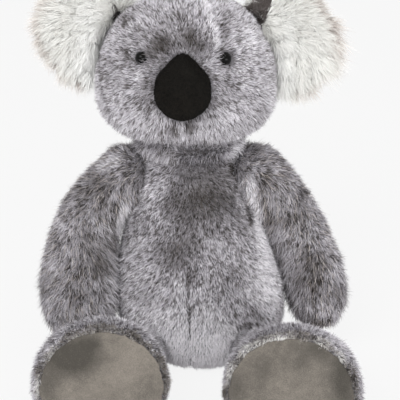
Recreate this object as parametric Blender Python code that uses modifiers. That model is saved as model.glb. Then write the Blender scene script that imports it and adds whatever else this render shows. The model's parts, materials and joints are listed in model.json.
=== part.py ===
# A seated plush koala: sewn covers of fur fabric, each filled with stuffing.
# Metres, +Z up. The toy faces -Y and sits on z = 0. Left and right are as seen from the front.

import math

import bmesh
import bpy
from mathutils import Matrix, Vector

# Fabric and clearances
COVER_WALL = 0.0030
VELOUR_WALL = 0.0014
GAP = 0.0004
FILL_GAP = 0.0006
BALL_CLEARANCE = 0.0006
WAD_CLEARANCE = 0.0040
CLAMP_GAP = 0.0018
MOUTH_RADIUS = 0.0090
SEAT_FLAT_DEPTH = 0.0005
OVERRUN = 0.0200
EMPTY_SIZE = 0.0200

# Torso
TORSO_HEIGHT = 0.199
TORSO_HALF_WIDTH = 0.0780
TORSO_HALF_DEPTH = 0.0690
TORSO_RECLINE_DEG = 8.0
TORSO_SHIFT = 0.0045
TORSO_LEAN_DEG = 4.0

# Head
HEAD_HALF_WIDTH = 0.0835
HEAD_HALF_DEPTH = 0.0635
HEAD_HALF_HEIGHT = 0.0690
HEAD_RISE = 0.2655
HEAD_SETBACK = 0.0350
HEAD_SHIFT = -0.0115
HEAD_TURN_DEG = -2.0

# Neck
NECK_WAD_RADIUS = 0.0280
NECK_BOWL_SHARE = 1.32
NECK_BOWL_DEPTH = 0.0030

# Arms
ARM_BALL_RADIUS = 0.0290
ARM_HALF_WIDTH = 0.0330
ARM_HALF_DEPTH = 0.0220
ARM_DROP = 0.1320
ARM_TIP = 0.0140
ARM_LEFT_SPREAD = 0.0455
ARM_RIGHT_SPREAD = 0.0595
ARM_LEFT_FORWARD = 0.0560
ARM_RIGHT_FORWARD = 0.0200
ARM_LEFT_TWIST_DEG = 0.0
ARM_RIGHT_TWIST_DEG = 60.0
SHOULDER_HALF_SPAN = 0.0580
SHOULDER_RISE = 0.1630
SHOULDER_SETBACK = 0.0250

# Cone that opens each shoulder socket outwards: offset and radius at its two ends
SHOULDER_FLARE_SHARES = ((-0.45, 1.03), (0.75, 1.84))

# Legs
LEG_BALL_RADIUS = 0.0210
LEG_HALF_WIDTH = 0.0240
LEG_LEFT_REACH = 0.1250
LEG_RIGHT_REACH = 0.1350
FOOT_HALF_WIDTH = 0.0580
FOOT_HALF_HEIGHT = 0.0555
FOOT_LENGTH = 0.0500
FOOT_TILT_DEG = 8.0
FOOT_TOE_IN_DEG = 5.0
LEG_LEFT_OUTWARD = 0.0310
LEG_RIGHT_OUTWARD = 0.0265
HIP_HALF_SPAN = 0.0480
HIP_RISE = 0.0230
HIP_LEFT_FORWARD = 0.0510
HIP_RIGHT_FORWARD = 0.0530
SOLE_WALL = 0.0024
SOLE_CROWN = 0.0040
SOLE_CLEARANCE = 0.0007
SOLE_MIDDLE_SHARE = 0.60

# Pellet bag
BAG_HALF_WIDTH = 0.0440
BAG_HALF_DEPTH = 0.0200
BAG_HALF_HEIGHT = 0.0240
BAG_SETBACK = 0.0420
BAG_RISE = 0.0400

# Ears
EAR_HALF_WIDTH = 0.0480
EAR_HALF_HEIGHT = 0.0510
EAR_PILE_DEPTH = 0.0150
EAR_BACK_DEPTH = 0.0060
EAR_OUTWARD = 0.0845
EAR_SETBACK = 0.0120
EAR_LEFT_RISE = 0.0300
EAR_RIGHT_RISE = 0.0210
EAR_LEAN_DEG = 23.0
EAR_FOLD_DEG = 25.0
EAR_FOLD_GAP = 0.0012
EAR_ROOT_REACH = 0.0800

# Face
NOSE_HALF_WIDTH = 0.0240
NOSE_HALF_HEIGHT = 0.0280
NOSE_STAND = 0.0170
NOSE_DROP = 0.0010
EYE_HALF_SPAN = 0.0345
EYE_RISE = 0.0210
EYE_RADIUS = 0.0064
EYE_STAND = 0.0014
SHANK_RADIUS = 0.0015
SHANK_LENGTH = 0.0090
WASHER_RADIUS = 0.0075
WASHER_THICKNESS = 0.0018

# Cage and smoothing counts
TORSO_SIDES = 10
LIMB_SIDES = 8
EAR_SIDES = 8
NOSE_SIDES = 10
FORM_LEVELS = 1
BALL_SUBDIVISIONS = 3
FILL_SUBDIVISIONS = 2
ROD_SEGMENTS = 12

# How far outside its ball a limb's end cage lies, so that smoothing leaves it on the ball
BALL_POLE_SHARE = 1.06
BALL_RING_SHARE = 1.09

# Each torso row: height, half width, half depth, forward bulge
TORSO_SHARES = (
    (0.00, 0.58, 0.54, 0.02),
    (0.06, 0.88, 0.86, 0.00),
    (0.22, 1.03, 1.00, 0.02),
    (0.42, 0.98, 1.00, 0.04),
    (0.62, 0.79, 0.86, 0.02),
    (0.80, 0.68, 0.74, 0.00),
    (0.96, 0.58, 0.61, 0.00),
)
TORSO_TOP_SHARE = 1.04

# Each head row: height from the middle, half width, half depth, forward bulge
HEAD_SHARES = (
    (-0.92, 0.58, 0.58, 0.02),
    (-0.70, 0.90, 0.88, 0.06),
    (-0.36, 1.00, 0.99, 0.08),
    (0.08, 0.965, 1.00, 0.05),
    (0.50, 0.83, 0.88, 0.00),
    (0.88, 0.54, 0.56, 0.00),
)

# Each arm row along the sleeve: outward, down, half width, half depth
ARM_LEFT_SHARES = (
    (0.62, 0.15, 0.82, 1.12),
    (0.92, 0.38, 0.92, 1.04),
    (1.00, 0.62, 1.02, 1.02),
    (0.99, 0.84, 0.98, 1.00),
    (0.93, 1.00, 0.62, 0.64),
)
ARM_RIGHT_SHARES = (
    (0.42, 0.16, 0.78, 1.12),
    (0.72, 0.40, 0.89, 1.04),
    (0.90, 0.64, 1.00, 1.02),
    (1.00, 0.86, 0.99, 1.02),
    (1.00, 1.00, 0.62, 0.64),
)
ARM_TWIST_START_SHARE = 0.50

# Each leg row from the hip ball to the heel: place, growth from leg to foot
LEG_SHARES = ((0.30, 0.10), (0.62, 0.36))
# Each foot row from heel to sole: depth, radius
FOOT_SHARES = ((0.90, 0.80), (0.58, 0.97), (0.24, 1.01), (0.00, 0.98))

# Each ear row: depth, radius
EAR_PILE_SHARES = ((0.04, 0.93), (0.40, 1.00), (0.90, 0.66))
EAR_BACK_SHARES = ((0.05, 0.90), (0.50, 0.94), (0.95, 0.62))

# Each nose row: stand-off, radius
NOSE_SHARES = ((-0.80, 1.00), (0.25, 1.02), (0.82, 0.76))
NOSE_TAPER_SHARE = 0.28

X, Y, Z = Vector((1, 0, 0)), Vector((0, 1, 0)), Vector((0, 0, 1))


def clear_scene():
    for item in list(bpy.data.objects):
        bpy.data.objects.remove(item, do_unlink=True)


def make_collection(name):
    group = bpy.data.collections.new(name)
    bpy.context.scene.collection.children.link(group)
    return group


def make_material(name, colour, roughness):
    material = bpy.data.materials.new(name)
    material.use_nodes = True
    shader = material.node_tree.nodes["Principled BSDF"]
    shader.inputs["Base Color"].default_value = (*colour, 1.0)
    shader.inputs["Roughness"].default_value = roughness
    shader.inputs["Metallic"].default_value = 0.0
    material.diffuse_color = (*colour, 1.0)
    return material


def make_materials():
    return {
        "grey_fur": make_material("grey_fur", (0.24, 0.23, 0.26), 0.95),
        "white_pile": make_material("white_pile", (0.74, 0.74, 0.70), 0.95),
        "dark_pile": make_material("dark_pile", (0.10, 0.085, 0.08), 0.95),
        "black_velour": make_material("black_velour", (0.012, 0.011, 0.010), 0.9),
        "sole_suede": make_material("sole_suede", (0.20, 0.18, 0.15), 0.85),
        "eye_plastic": make_material("eye_plastic", (0.005, 0.005, 0.005), 0.08),
        "washer_plastic": make_material("washer_plastic", (0.75, 0.75, 0.72), 0.5),
        "stuffing": make_material("stuffing", (0.85, 0.85, 0.83), 1.0),
        "bag_cloth": make_material("bag_cloth", (0.70, 0.68, 0.62), 0.9),
    }


def ring_gain(sides):
    """How much larger a cage ring is than the round surface that smoothing leaves."""
    return 4.0 / (3.0 + math.cos(2.0 * math.pi / sides))


def ring_points(centre, side, front, sides, taper_share=0.0):
    """Points of one cage ring; a taper narrows it towards the front vector."""
    gain = ring_gain(sides)
    points = []
    for step in range(sides):
        angle = 2.0 * math.pi * step / sides
        narrow = 1.0 - taper_share * math.sin(angle)
        points.append(
            centre + side * (gain * narrow * math.cos(angle)) + front * (gain * math.sin(angle))
        )
    return points


def enclosed_volume(cage, end_ring):
    """Signed volume as if a flat lid closed the cage at the end ring."""
    middle = sum(end_ring, Vector()) / len(end_ring)
    volume = 0.0
    for face in cage.faces:
        corners = [vertex.co - middle for vertex in face.verts]
        for second, third in zip(corners[1:], corners[2:]):
            volume += corners[0].dot(second.cross(third)) / 6.0
    return volume


def loft_mesh(name, rings, first_pole, last_pole):
    """Closed cage through the rings; a pole that is None leaves that end open."""
    mesh = bpy.data.meshes.new(name)
    cage = bmesh.new()
    loops = [[cage.verts.new(point) for point in ring] for ring in rings]
    sides = len(rings[0])
    for low, high in zip(loops, loops[1:]):
        for step in range(sides):
            after = (step + 1) % sides
            cage.faces.new((low[step], low[after], high[after], high[step]))
    for loop, pole, flip in ((loops[0], first_pole, True), (loops[-1], last_pole, False)):
        if pole is None:
            continue
        tip = cage.verts.new(pole)
        for step in range(sides):
            after = (step + 1) % sides
            corners = (loop[step], loop[after], tip)
            cage.faces.new(tuple(reversed(corners)) if flip else corners)
    if enclosed_volume(cage, rings[0] if first_pole is None else rings[-1]) < 0:
        bmesh.ops.reverse_faces(cage, faces=cage.faces)
    cage.to_mesh(mesh)
    cage.free()
    mesh.shade_smooth()
    return mesh


def ball_mesh(name, radius, centre, subdivisions=BALL_SUBDIVISIONS):
    mesh = bpy.data.meshes.new(name)
    ball = bmesh.new()
    bmesh.ops.create_icosphere(
        ball,
        subdivisions=subdivisions,
        radius=radius,
        matrix=Matrix.Translation(centre),
    )
    ball.to_mesh(mesh)
    ball.free()
    mesh.shade_smooth()
    return mesh


def rod_mesh(name, radius, start, end, end_radius=None):
    """Cylinder from start to end, or a cone if the end has its own radius."""
    along = end - start
    turn = along.to_track_quat("Z", "Y").to_matrix().to_4x4()
    mesh = bpy.data.meshes.new(name)
    rod = bmesh.new()
    bmesh.ops.create_cone(
        rod,
        cap_ends=True,
        segments=ROD_SEGMENTS,
        radius1=radius,
        radius2=radius if end_radius is None else end_radius,
        depth=along.length,
        matrix=Matrix.Translation((start + end) * 0.5) @ turn,
    )
    rod.to_mesh(mesh)
    rod.free()
    return mesh


def box_mesh(name, low, high):
    mesh = bpy.data.meshes.new(name)
    size = high - low
    box = bmesh.new()
    bmesh.ops.create_cube(
        box,
        size=1.0,
        matrix=Matrix.Translation((low + high) * 0.5) @ Matrix.Diagonal((*size, 1.0)),
    )
    box.to_mesh(mesh)
    box.free()
    return mesh


class Toy:
    """Keeps the collections, the materials and the empties that carry the pieces."""

    def __init__(self):
        self.model = make_collection("plush_koala")
        self.cutters = make_collection("cutters")
        self.materials = make_materials()
        self.root = self.add_empty("koala", Vector((0, 0, 0)), None)

    def add_empty(self, name, place, parent):
        empty = bpy.data.objects.new(name, None)
        empty.empty_display_size = EMPTY_SIZE
        self.model.objects.link(empty)
        if parent is not None:
            empty.parent = parent
        empty.location = place - (self.place_of(parent) if parent else Vector((0, 0, 0)))
        return empty

    def place_of(self, empty):
        place = empty.location.copy()
        while empty.parent is not None:
            empty = empty.parent
            place += empty.location
        return place

    def add(self, name, mesh, material, carrier):
        """Adds a piece whose mesh is given in world places and hangs it on its empty."""
        piece = bpy.data.objects.new(name, mesh)
        mesh.transform(Matrix.Translation(-self.place_of(carrier)))
        mesh.materials.append(self.materials[material])
        piece.parent = carrier
        self.model.objects.link(piece)
        return piece

    def add_cutter(self, name, mesh):
        cutter = bpy.data.objects.new(name, mesh)
        cutter.hide_render = True
        cutter.display_type = "WIRE"
        cutter.parent = self.root
        self.cutters.objects.link(cutter)
        return cutter


def smooth(piece, levels=FORM_LEVELS):
    step = piece.modifiers.new("smooth", "SUBSURF")
    step.levels = levels
    step.render_levels = levels


def hollow(piece, wall):
    step = piece.modifiers.new("wall", "SOLIDIFY")
    step.thickness = wall
    step.offset = -1.0


def grow(piece, distance):
    """Moves the surface along its normals; a negative distance shrinks it."""
    step = piece.modifiers.new("offset", "DISPLACE")
    step.strength = distance
    step.mid_level = 0.0


def cut(piece, cutter, operation="DIFFERENCE"):
    step = piece.modifiers.new(cutter.name, "BOOLEAN")
    step.operation = operation
    step.solver = "EXACT"
    step.object = cutter


def lowest(piece):
    """Lowest world height of the piece as its modifiers leave it."""
    bpy.context.view_layer.update()
    evaluated = piece.evaluated_get(bpy.context.evaluated_depsgraph_get())
    return min((evaluated.matrix_world @ vertex.co).z for vertex in evaluated.data.vertices)


def floor_box(toy):
    reach = TORSO_HEIGHT * 2.0
    low = Vector((-reach, -reach, -OVERRUN))
    return toy.add_cutter("floor_cut", box_mesh("floor_cut", low, Vector((reach, reach, 0))))


def torso_centre(height):
    """Place on the torso's axis, which reclines and leans a little to the left."""
    lean = TORSO_SHIFT - height * math.tan(math.radians(TORSO_LEAN_DEG))
    return Vector((lean, height * math.tan(math.radians(TORSO_RECLINE_DEG)), height))


def torso_mesh(name, drop):
    rings = []
    for height_share, width_share, depth_share, bulge_share in TORSO_SHARES:
        centre = torso_centre(TORSO_HEIGHT * height_share) - Z * drop
        centre -= Y * (TORSO_HALF_DEPTH * bulge_share)
        side = X * (TORSO_HALF_WIDTH * width_share)
        front = Y * (TORSO_HALF_DEPTH * depth_share)
        rings.append(ring_points(centre, side, front, TORSO_SIDES))
    bottom = torso_centre(0) - Z * drop
    top = torso_centre(TORSO_HEIGHT * TORSO_TOP_SHARE) - Z * drop
    return loft_mesh(name, rings, bottom, top)


def neck_centre():
    return torso_centre(TORSO_HEIGHT)


def shoulder_centre(sign):
    middle = torso_centre(SHOULDER_RISE)
    return Vector((middle.x + sign * SHOULDER_HALF_SPAN, SHOULDER_SETBACK, SHOULDER_RISE))


def hip_centre(sign):
    forward = HIP_LEFT_FORWARD if sign < 0 else HIP_RIGHT_FORWARD
    return Vector((sign * HIP_HALF_SPAN, -forward, HIP_RISE))


def build_torso(toy, floor):
    """The pear-shaped cover, the stuffing and the pellet bag in the seat."""
    bowl_radius = HEAD_HALF_WIDTH * NECK_BOWL_SHARE
    bowl_centre = neck_centre() + Z * (bowl_radius - NECK_BOWL_DEPTH)
    sockets = [
        toy.add_cutter(
            "neck_socket",
            ball_mesh("neck_socket", NECK_WAD_RADIUS + BALL_CLEARANCE, neck_centre()),
        ),
        toy.add_cutter("neck_bowl", ball_mesh("neck_bowl", bowl_radius, bowl_centre)),
    ]
    for side_name, sign in (("left", -1), ("right", 1)):
        for joint, radius, centre in (
            ("shoulder", ARM_BALL_RADIUS, shoulder_centre(sign)),
            ("hip", LEG_BALL_RADIUS, hip_centre(sign)),
        ):
            name = f"{joint}_{side_name}_socket"
            sockets.append(toy.add_cutter(name, ball_mesh(name, radius + BALL_CLEARANCE, centre)))
        name = f"shoulder_{side_name}_flare"
        (start, start_radius), (end, end_radius) = [
            (shoulder_centre(sign) + X * (sign * ARM_BALL_RADIUS * offset), ARM_BALL_RADIUS * radius)
            for offset, radius in SHOULDER_FLARE_SHARES
        ]
        flare = rod_mesh(name, start_radius, start, end, end_radius)
        sockets.append(toy.add_cutter(name, flare))

    cover = toy.add("torso_cover", torso_mesh("torso_cover", 0.0), "grey_fur", toy.root)
    smooth(cover)
    drop = lowest(cover) + SEAT_FLAT_DEPTH
    cover.data.transform(Matrix.Translation(-Z * drop))
    hollow(cover, COVER_WALL)
    stuffing = toy.add(
        "torso_stuffing", torso_mesh("torso_stuffing", drop), "stuffing", toy.root
    )
    smooth(stuffing)
    grow(stuffing, -(COVER_WALL + FILL_GAP))
    for piece in (cover, stuffing):
        for socket in sockets:
            cut(piece, socket)
    cut(cover, floor)

    bag_place = Matrix.Translation((0, BAG_SETBACK, BAG_RISE))
    for name, spare in (("pellet_bag", 0.0), ("bag_pocket", GAP)):
        mesh = ball_mesh(name, 1.0, Vector((0, 0, 0)), subdivisions=FILL_SUBDIVISIONS)
        size = (BAG_HALF_WIDTH + spare, BAG_HALF_DEPTH + spare, BAG_HALF_HEIGHT + spare, 1.0)
        mesh.transform(bag_place @ Matrix.Diagonal(size))
        if spare:
            cut(stuffing, toy.add_cutter(name, mesh))
            middle = bag_place.translation
            slit = rod_mesh("bag_slit", MOUTH_RADIUS, middle, middle - Z * (BAG_RISE + OVERRUN))
            cut(stuffing, toy.add_cutter("bag_slit", slit))
        else:
            toy.add(name, mesh, "bag_cloth", toy.root)


def head_turn():
    return Matrix.Rotation(math.radians(HEAD_TURN_DEG), 4, "Z")


def head_place():
    """Turns and places anything modelled about the middle of the head."""
    return Matrix.Translation((HEAD_SHIFT, HEAD_SETBACK, HEAD_RISE)) @ head_turn()


def head_mesh(name):
    rings = []
    for height_share, width_share, depth_share, bulge_share in HEAD_SHARES:
        centre = Z * (HEAD_HALF_HEIGHT * height_share) - Y * (HEAD_HALF_DEPTH * bulge_share)
        side = X * (HEAD_HALF_WIDTH * width_share)
        front = Y * (HEAD_HALF_DEPTH * depth_share)
        rings.append(ring_points(centre, side, front, TORSO_SIDES))
    mesh = loft_mesh(name, rings, -Z * HEAD_HALF_HEIGHT, Z * HEAD_HALF_HEIGHT)
    mesh.transform(head_place())
    return mesh


def head_surface(form, across, height):
    """Point and normal on the front of the head at a place given in the head's own axes."""
    bpy.context.view_layer.update()
    evaluated = form.evaluated_get(bpy.context.evaluated_depsgraph_get())
    to_form = form.matrix_world.inverted()
    start = head_place() @ Vector((across, -HEAD_HALF_DEPTH * 2.0, height))
    heading = head_turn().to_3x3() @ Y
    found, point, normal, _ = evaluated.ray_cast(to_form @ start, to_form.to_3x3() @ heading)
    if not found:
        raise ValueError("the face piece lies off the head")
    return form.matrix_world @ point, normal.normalized()


def build_head(toy, neck):
    """The head's cover and stuffing, and the form that its neighbours are cut by."""
    form = toy.add_cutter("head_form", head_mesh("head_form"))
    smooth(form)
    grow(form, GAP)
    cover = toy.add("head_cover", head_mesh("head_cover"), "grey_fur", neck)
    smooth(cover)
    hollow(cover, COVER_WALL)
    stuffing = toy.add("head_stuffing", head_mesh("head_stuffing"), "stuffing", neck)
    smooth(stuffing)
    grow(stuffing, -(COVER_WALL + FILL_GAP))
    socket = bpy.data.objects["neck_socket"]
    cut(cover, socket)
    cut(stuffing, socket)
    return form, cover, stuffing


def build_nose(toy, form, neck):
    """A peaked egg of velour with its own pad of fill, lying on the muzzle."""
    point, _ = head_surface(form, 0.0, -NOSE_DROP)
    turn = head_turn().to_3x3()
    rings = []
    for stand_share, radius_share in NOSE_SHARES:
        centre = point - turn @ Y * (NOSE_STAND * stand_share)
        side = turn @ X * (NOSE_HALF_WIDTH * radius_share)
        up = Z * (NOSE_HALF_HEIGHT * radius_share)
        rings.append(ring_points(centre, side, up, NOSE_SIDES, NOSE_TAPER_SHARE))
    back = point + turn @ Y * NOSE_STAND
    tip = point - turn @ Y * NOSE_STAND
    cover = toy.add("nose_cover", loft_mesh("nose_cover", rings, back, tip), "black_velour", neck)
    smooth(cover)
    hollow(cover, VELOUR_WALL)
    cut(cover, form)
    pad = toy.add("nose_pad", loft_mesh("nose_pad", rings, back, tip), "stuffing", neck)
    smooth(pad)
    grow(pad, -(VELOUR_WALL + GAP))
    cut(pad, form)


def build_eye(toy, side_name, sign, form, cover, stuffing, neck):
    """A safety eye: a glossy bead on a stem, and the washer that locks it inside the cover."""
    point, out = head_surface(form, sign * EYE_HALF_SPAN, EYE_RISE)
    name = f"eye_{side_name}"
    bead = toy.add(name, ball_mesh(name, EYE_RADIUS, point + out * EYE_STAND), "eye_plastic", neck)
    cut(bead, form)
    shank = toy.add_cutter(
        f"{name}_shank",
        rod_mesh(f"{name}_shank", SHANK_RADIUS, point + out * EYE_STAND, point - out * SHANK_LENGTH),
    )
    cut(bead, shank, "UNION")
    hole = toy.add_cutter(
        f"{name}_hole",
        rod_mesh(f"{name}_hole", SHANK_RADIUS + GAP, point + out * OVERRUN, point - out * OVERRUN),
    )
    cut(cover, hole)

    front = point - out * (COVER_WALL + CLAMP_GAP)
    back = front - out * WASHER_THICKNESS
    washer_name = f"{name}_washer"
    washer = toy.add(
        washer_name, rod_mesh(washer_name, WASHER_RADIUS, front, back), "washer_plastic", neck
    )
    cut(washer, hole)
    pocket_name = f"{name}_pocket"
    pocket = rod_mesh(
        pocket_name, WASHER_RADIUS + GAP, point + out * OVERRUN, point - out * (SHANK_LENGTH + GAP)
    )
    cut(stuffing, toy.add_cutter(pocket_name, pocket))


def build_ear(toy, side_name, sign, head_form, neck):
    """Two pads back to back, white pile in front, with a root that clears the head as it folds."""
    rise = EAR_LEFT_RISE if sign < 0 else EAR_RIGHT_RISE
    place = head_place()
    centre = place @ Vector((sign * EAR_OUTWARD, EAR_SETBACK, rise))
    lean = math.radians(EAR_LEAN_DEG)
    outward = Vector((sign * math.cos(lean), 0, math.sin(lean)))
    axis = Vector((-sign * math.sin(lean), 0, math.cos(lean)))
    root = place @ (outward * EAR_ROOT_REACH + Y * EAR_SETBACK)
    hinge = toy.add_empty(f"ear_{side_name}_hinge", root, neck)

    swept = [head_form]
    for turn_name, turn_deg in (("fore", -EAR_FOLD_DEG), ("aft", EAR_FOLD_DEG)):
        name = f"ear_{side_name}_{turn_name}_cut"
        mesh = head_mesh(name)
        swing = Matrix.Rotation(math.radians(turn_deg), 4, axis)
        mesh.transform(Matrix.Translation(root) @ swing @ Matrix.Translation(-root))
        cutter = toy.add_cutter(name, mesh)
        smooth(cutter)
        grow(cutter, EAR_FOLD_GAP)
        swept.append(cutter)

    for part_name, shares, depth, facing, material in (
        ("front", EAR_PILE_SHARES, EAR_PILE_DEPTH, -1, "white_pile"),
        ("back", EAR_BACK_SHARES, EAR_BACK_DEPTH, 1, "dark_pile"),
    ):
        base = centre + Y * (facing * GAP * 0.5)
        rings = []
        for depth_share, radius_share in shares:
            middle = base + Y * (facing * depth * depth_share)
            side = X * (EAR_HALF_WIDTH * radius_share)
            up = Z * (EAR_HALF_HEIGHT * radius_share)
            rings.append(ring_points(middle, side, up, EAR_SIDES))
        name = f"ear_{side_name}_{part_name}"
        mesh = loft_mesh(name, rings, base, base + Y * (facing * depth))
        pad = toy.add(name, mesh, material, hinge)
        smooth(pad)
        for cutter in swept:
            cut(pad, cutter)


def ball_rings(centre, radius, side, front, along):
    """The closed half of a ball joint: a small ring and the ball's widest ring."""
    half = math.sin(math.pi / 4.0) * radius * BALL_RING_SHARE
    small = ring_points(centre - along * half, side * half, front * half, LIMB_SIDES)
    wide = ring_points(centre, side * radius, front * radius, LIMB_SIDES)
    return [small, wide], centre - along * (radius * BALL_POLE_SHARE)


def shoulder_wad_radius():
    """The ball of fill that the arm's round end holds inside its cover."""
    return ARM_BALL_RADIUS - COVER_WALL - WAD_CLEARANCE


def arm_mesh(name, sign):
    centre = shoulder_centre(sign)
    shares = ARM_LEFT_SHARES if sign < 0 else ARM_RIGHT_SHARES
    spread = ARM_LEFT_SPREAD if sign < 0 else ARM_RIGHT_SPREAD
    forward = ARM_LEFT_FORWARD if sign < 0 else ARM_RIGHT_FORWARD
    twist = math.radians(ARM_LEFT_TWIST_DEG if sign < 0 else ARM_RIGHT_TWIST_DEG)
    places = [
        centre + Vector((sign * spread * out_share, -forward * down_share, -ARM_DROP * down_share))
        for out_share, down_share, _, _ in shares
    ]
    tip = places[-1] - Z * ARM_TIP
    along = (places[0] - centre).normalized()
    side = along.cross(Y).normalized() * -sign
    front = along.cross(side).normalized()
    rings, pole = ball_rings(centre, ARM_BALL_RADIUS, side, front, along)
    path = [centre, *places, tip]
    for step, (_, down_share, width_share, depth_share) in enumerate(shares, start=1):
        along = (path[step + 1] - path[step - 1]).normalized()
        side = along.cross(Y).normalized() * -sign
        front = along.cross(side).normalized()
        turned = min(1.0, down_share / ARM_TWIST_START_SHARE) * twist
        half_width = ARM_HALF_WIDTH * width_share
        half_depth = ARM_HALF_DEPTH * depth_share
        wide = (side * math.cos(turned) + front * math.sin(turned)) * half_width
        deep = (front * math.cos(turned) - side * math.sin(turned)) * half_depth
        rings.append(ring_points(path[step], wide, deep, LIMB_SIDES))
    return loft_mesh(name, rings, pole, tip)


def build_arm(toy, side_name, sign):
    shoulder = toy.add_empty(f"shoulder_{side_name}", shoulder_centre(sign), toy.root)
    name = f"arm_{side_name}"
    wad_name = f"shoulder_{side_name}_wad"
    centre = shoulder_centre(sign)
    radius = shoulder_wad_radius()
    wad = ball_mesh(wad_name, radius, centre, subdivisions=FILL_SUBDIVISIONS)
    toy.add(wad_name, wad, "stuffing", shoulder)
    pocket = ball_mesh(f"{wad_name}_pocket", radius + WAD_CLEARANCE, centre)
    cover = toy.add(f"{name}_cover", arm_mesh(name, sign), "grey_fur", shoulder)
    smooth(cover)
    hollow(cover, COVER_WALL)
    inward = centre - X * (sign * ARM_BALL_RADIUS * 2.0)
    mouth_name = f"{name}_mouth"
    cut(cover, toy.add_cutter(mouth_name, rod_mesh(mouth_name, MOUTH_RADIUS, centre, inward)))
    stuffing = toy.add(f"{name}_stuffing", arm_mesh(name, sign), "stuffing", shoulder)
    smooth(stuffing)
    grow(stuffing, -(COVER_WALL + FILL_GAP))
    cut(stuffing, toy.add_cutter(f"{wad_name}_pocket", pocket))


def foot_frame(sign):
    """Axes of the foot: across, up the sole, and out of the sole."""
    turn = Matrix.Rotation(math.radians(-sign * FOOT_TOE_IN_DEG), 3, "Z")
    tilt = Matrix.Rotation(math.radians(-FOOT_TILT_DEG), 3, "X")
    whole = turn @ tilt
    return whole @ X, whole @ Z, whole @ -Y


def sole_centre(sign, lift):
    outward = LEG_LEFT_OUTWARD if sign < 0 else LEG_RIGHT_OUTWARD
    reach = LEG_LEFT_REACH if sign < 0 else LEG_RIGHT_REACH
    hip = hip_centre(sign)
    return Vector((hip.x + sign * outward, hip.y - reach, FOOT_HALF_HEIGHT + lift))


def leg_rings(sign, lift):
    across, up, out = foot_frame(sign)
    sole = sole_centre(sign, lift)
    hip = hip_centre(sign)
    heel = sole - out * FOOT_LENGTH
    along = (heel - hip).normalized()
    side = along.cross(Z).normalized() * -1.0
    front = along.cross(side).normalized()
    rings, pole = ball_rings(hip, LEG_BALL_RADIUS, side, front, along)
    for place_share, growth_share in LEG_SHARES:
        radius = LEG_HALF_WIDTH + (FOOT_HALF_WIDTH - LEG_HALF_WIDTH) * growth_share
        centre = hip.lerp(heel, place_share)
        rings.append(ring_points(centre, side * radius, front * radius, LIMB_SIDES))
    for depth_share, radius_share in FOOT_SHARES:
        wide = across * (FOOT_HALF_WIDTH * radius_share)
        tall = up * (FOOT_HALF_HEIGHT * radius_share)
        centre = sole - out * (FOOT_LENGTH * depth_share)
        rings.append(ring_points(centre, wide, tall, LIMB_SIDES))
    return rings, pole


def sole_mesh(name, sign, lift):
    """The pad that closes the foot, with a slight crown."""
    across, up, out = foot_frame(sign)
    centre = sole_centre(sign, lift)
    rim_share = FOOT_SHARES[-1][1]
    inset = COVER_WALL + SOLE_CLEARANCE
    wide = across * (FOOT_HALF_WIDTH * rim_share - inset)
    tall = up * (FOOT_HALF_HEIGHT * rim_share - inset)
    middle = centre + out * (SOLE_CROWN * 0.5)
    rings = [
        ring_points(centre, wide, tall, LIMB_SIDES),
        ring_points(middle, wide * SOLE_MIDDLE_SHARE, tall * SOLE_MIDDLE_SHARE, LIMB_SIDES),
    ]
    return loft_mesh(name, rings, None, centre + out * SOLE_CROWN)


def build_leg(toy, side_name, sign, floor):
    hip = toy.add_empty(f"hip_{side_name}", hip_centre(sign), toy.root)
    name = f"leg_{side_name}"
    rings, pole = leg_rings(sign, 0.0)
    trial = toy.add(f"{name}_cover", loft_mesh(name, rings, pole, None), "grey_fur", hip)
    smooth(trial)
    lift = -(lowest(trial) + SEAT_FLAT_DEPTH)
    bpy.data.objects.remove(trial, do_unlink=True)

    rings, pole = leg_rings(sign, lift)
    cover = toy.add(f"{name}_cover", loft_mesh(name, rings, pole, None), "grey_fur", hip)
    smooth(cover)
    hollow(cover, COVER_WALL)
    cut(cover, floor)

    _, _, out = foot_frame(sign)
    inner = sole_centre(sign, lift) - out * (SOLE_WALL + GAP)
    stuffing = toy.add(f"{name}_stuffing", loft_mesh(name, rings, pole, inner), "stuffing", hip)
    smooth(stuffing)
    grow(stuffing, -(COVER_WALL + FILL_GAP))

    sole = toy.add(f"sole_{side_name}", sole_mesh(name, sign, lift), "sole_suede", hip)
    smooth(sole)
    hollow(sole, SOLE_WALL)


def centre_toy(toy):
    """Moves the root so that the middle of the box stands on the origin."""
    bpy.context.view_layer.update()
    depsgraph = bpy.context.evaluated_depsgraph_get()
    corners = []
    for piece in toy.model.objects:
        if piece.type != "MESH":
            continue
        evaluated = piece.evaluated_get(depsgraph)
        corners += [evaluated.matrix_world @ vertex.co for vertex in evaluated.data.vertices]
    for axis in (0, 1):
        values = [corner[axis] for corner in corners]
        toy.root.location[axis] = -0.5 * (min(values) + max(values))
    bpy.context.view_layer.update()


def main():
    clear_scene()
    toy = Toy()
    floor = floor_box(toy)
    build_torso(toy, floor)

    neck = toy.add_empty("neck", neck_centre(), toy.root)
    wad = ball_mesh("neck_wad", NECK_WAD_RADIUS, neck_centre(), subdivisions=FILL_SUBDIVISIONS)
    toy.add("neck_wad", wad, "stuffing", neck)
    form, cover, stuffing = build_head(toy, neck)
    build_nose(toy, form, neck)
    for side_name, sign in (("left", -1), ("right", 1)):
        build_eye(toy, side_name, sign, form, cover, stuffing, neck)
        build_ear(toy, side_name, sign, form, neck)
        build_arm(toy, side_name, sign)
        build_leg(toy, side_name, sign, floor)
    centre_toy(toy)


main()
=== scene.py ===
# The plush koala dressed for its picture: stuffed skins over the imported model, and fur strands on them.
# Metres throughout. Left and right are as seen from the front.

import json
import math

import bpy
import numpy as np
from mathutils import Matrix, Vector
from mathutils.bvhtree import BVHTree


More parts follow.
